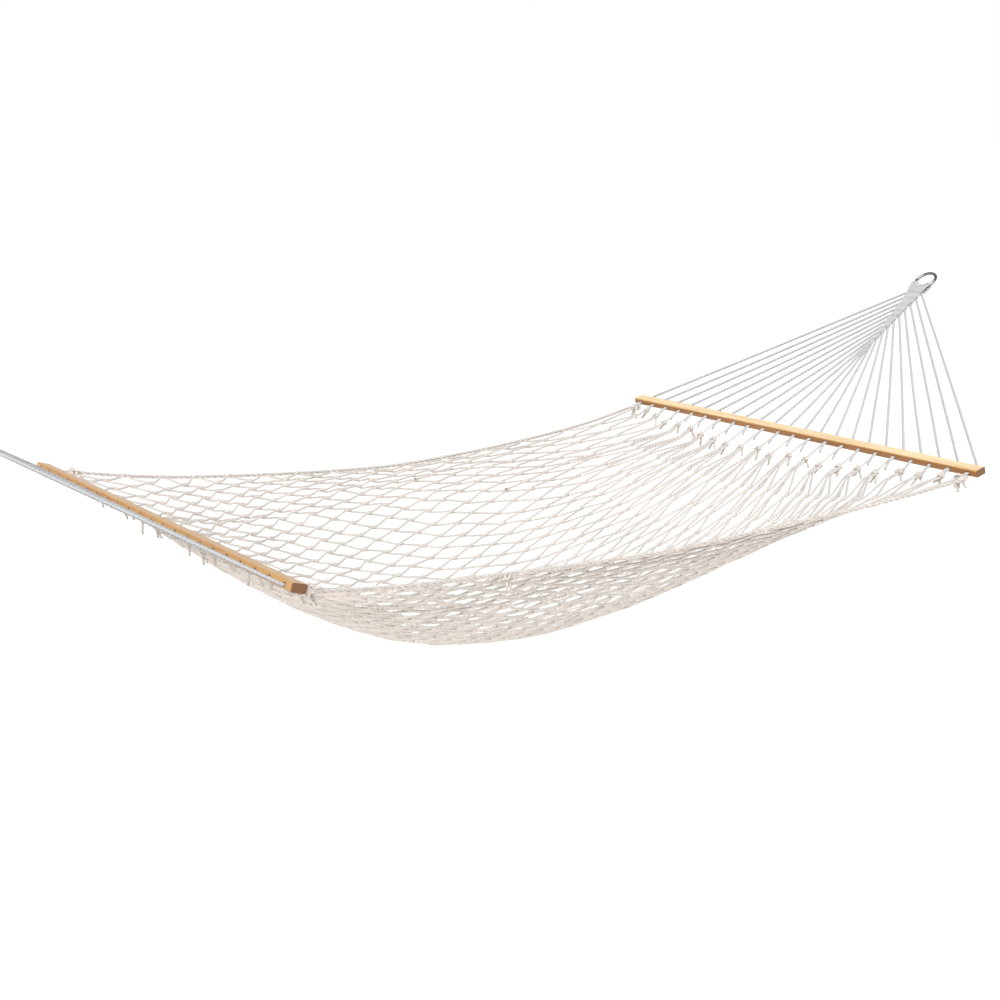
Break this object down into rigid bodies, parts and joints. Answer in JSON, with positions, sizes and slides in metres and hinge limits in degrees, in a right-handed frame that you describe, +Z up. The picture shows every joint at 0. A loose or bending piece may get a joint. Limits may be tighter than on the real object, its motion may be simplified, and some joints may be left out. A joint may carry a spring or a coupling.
{
  "type": "rope hammock",
  "caption": "Rope hammock: open rope net between two wooden spreader bars, each hung by fanned cords woven into a clew on a steel ring.",
  "frame": {"origin": "the hook seat in the left ring: the point inside the ring where the hook bears", "axes": "+X along the hammock from the left ring to the right ring, +Y along the spreader bars, +Z up"},
  "size_m": [3.2372, 1.4, 0.8501],
  "materials": {
    "net_rope": "matte",
    "harness_cord": "matte",
    "wood": "satin",
    "steel": "polished"
  },
  "bodies": {
    "bed": {"net": "net_rope", "side_rope_near": "net_rope", "side_rope_far": "net_rope", "net_knots_left": "harness_cord", "net_knots_right": "harness_cord", "corner_knot_left_near": "net_rope", "corner_knot_left_far": "net_rope", "corner_knot_right_near": "net_rope", "corner_knot_right_far": "net_rope"},
    "bar_left": {"bar_left": "wood", "bar_ties_left": "harness_cord"},
    "harness_left": {"cord_left_01": "harness_cord", "cord_left_02": "harness_cord", "cord_left_03": "harness_cord", "cord_left_04": "harness_cord", "cord_left_05": "harness_cord", "cord_left_06": "harness_cord", "cord_left_07": "harness_cord", "cord_left_08": "harness_cord", "cord_left_09": "harness_cord", "cord_left_10": "harness_cord", "cord_left_11": "harness_cord", "clew_left": "harness_cord"},
    "ring_left": {"ring_left": "steel", "ring_loops_left": "harness_cord"},
    "bar_right": {"bar_right": "wood", "bar_ties_right": "harness_cord"},
    "harness_right": {"cord_right_01": "harness_cord", "cord_right_02": "harness_cord", "cord_right_03": "harness_cord", "cord_right_04": "harness_cord", "cord_right_05": "harness_cord", "cord_right_06": "harness_cord", "cord_right_07": "harness_cord", "cord_right_08": "harness_cord", "cord_right_09": "harness_cord", "cord_right_10": "harness_cord", "cord_right_11": "harness_cord", "clew_right": "harness_cord"},
    "ring_right": {"ring_right": "steel", "ring_loops_right": "harness_cord"}
  },
  "joints": [
    {"name": "bar_left_tilt", "type": "hinge", "parent": "bed", "child": "bar_left", "pos_m": [0.69514, 0, -0.3892], "axis": [0, 1, 0], "range_deg": [-30, 30]},
    {"name": "harness_left_swing", "type": "hinge", "parent": "bar_left", "child": "harness_left", "pos_m": [0.60492, 0, -0.34925], "axis": [0, 1, 0], "range_deg": [-75, 60]},
    {"name": "ring_left_tilt", "type": "hinge", "parent": "harness_left", "child": "ring_left", "pos_m": [0.06885, 0, -0.03975], "axis": [0, 1, 0], "range_deg": [-45, 45]},
    {"name": "bar_right_tilt", "type": "hinge", "parent": "bed", "child": "bar_right", "pos_m": [2.57914, 0, -0.3892], "axis": [0, -1, 0], "range_deg": [-30, 30]},
    {"name": "harness_right_swing", "type": "hinge", "parent": "bar_right", "child": "harness_right", "pos_m": [2.66935, 0, -0.34925], "axis": [0, -1, 0], "range_deg": [-75, 60]},
    {"name": "ring_right_tilt", "type": "hinge", "parent": "harness_right", "child": "ring_right", "pos_m": [3.15713, 0, 0.03184], "axis": [0, -1, 0], "range_deg": [-45, 45]}
  ]
}
